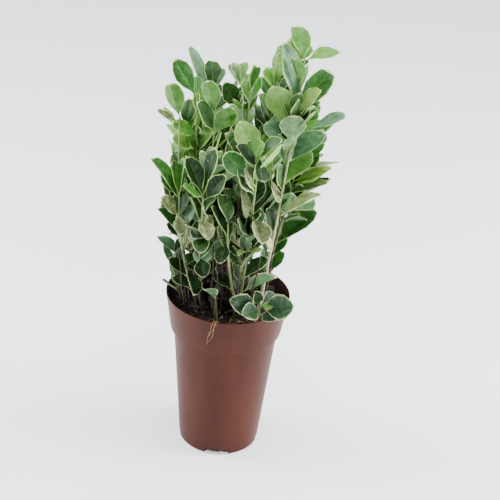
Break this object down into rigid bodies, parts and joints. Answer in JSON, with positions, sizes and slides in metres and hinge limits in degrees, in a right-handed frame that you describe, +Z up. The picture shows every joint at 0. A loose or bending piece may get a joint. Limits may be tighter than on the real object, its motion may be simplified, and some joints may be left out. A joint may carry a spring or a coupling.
{
  "type": "potted euonymus",
  "caption": "Young variegated evergreen shrub with upright leafy stems, growing in a tall tapered round nursery pot filled with peat.",
  "frame": {"origin": "centre of the pot's flat underside, which stands on the ground", "axes": "+Z up along the pot's axis, -Y to the front, where the low rosette hangs over the rim, +X to the side of the tallest shoot"},
  "size_m": [0.1909, 0.1866, 0.4844],
  "materials": {
    "pot_plastic": "thin terracotta-coloured moulded plastic, satin",
    "peat": "moist dark peat, rough",
    "bark": "young olive-green bark, slightly ridged",
    "foliage": "leathery green leaves with cream margins, soft sheen"
  },
  "bodies": {
    "root": {"pot": "pot_plastic", "soil": "peat", "stem_centre": "bark", "stem_front": "bark", "stem_left": "bark", "stem_rear": "bark", "stem_rear_left": "bark", "stem_rear_right": "bark", "stem_right": "bark", "bough_far_left": "bark", "bough_far_right": "bark", "bough_front_left": "bark", "bough_front_low": "bark", "bough_left": "bark", "bough_mid_right": "bark", "bough_rear_mid_left": "bark", "bough_rear_mid_right": "bark", "bough_upper_left": "bark", "foliage_centre": "foliage", "foliage_far_left": "foliage", "foliage_far_right": "foliage", "foliage_front_centre": "foliage", "foliage_front_left": "foliage", "foliage_front_low": "foliage", "foliage_left": "foliage", "foliage_mid_left": "foliage", "foliage_mid_right": "foliage", "foliage_rear": "foliage", "foliage_rear_left": "foliage", "foliage_rear_mid_left": "foliage", "foliage_rear_mid_right": "foliage", "foliage_right": "foliage", "foliage_tall_right": "foliage", "foliage_upper_left": "foliage", "sprig_front": "foliage", "sprig_front_right": "foliage", "sprig_left": "foliage", "sprig_rear": "foliage", "sprig_rear_right": "foliage"}
  },
  "joints": []
}
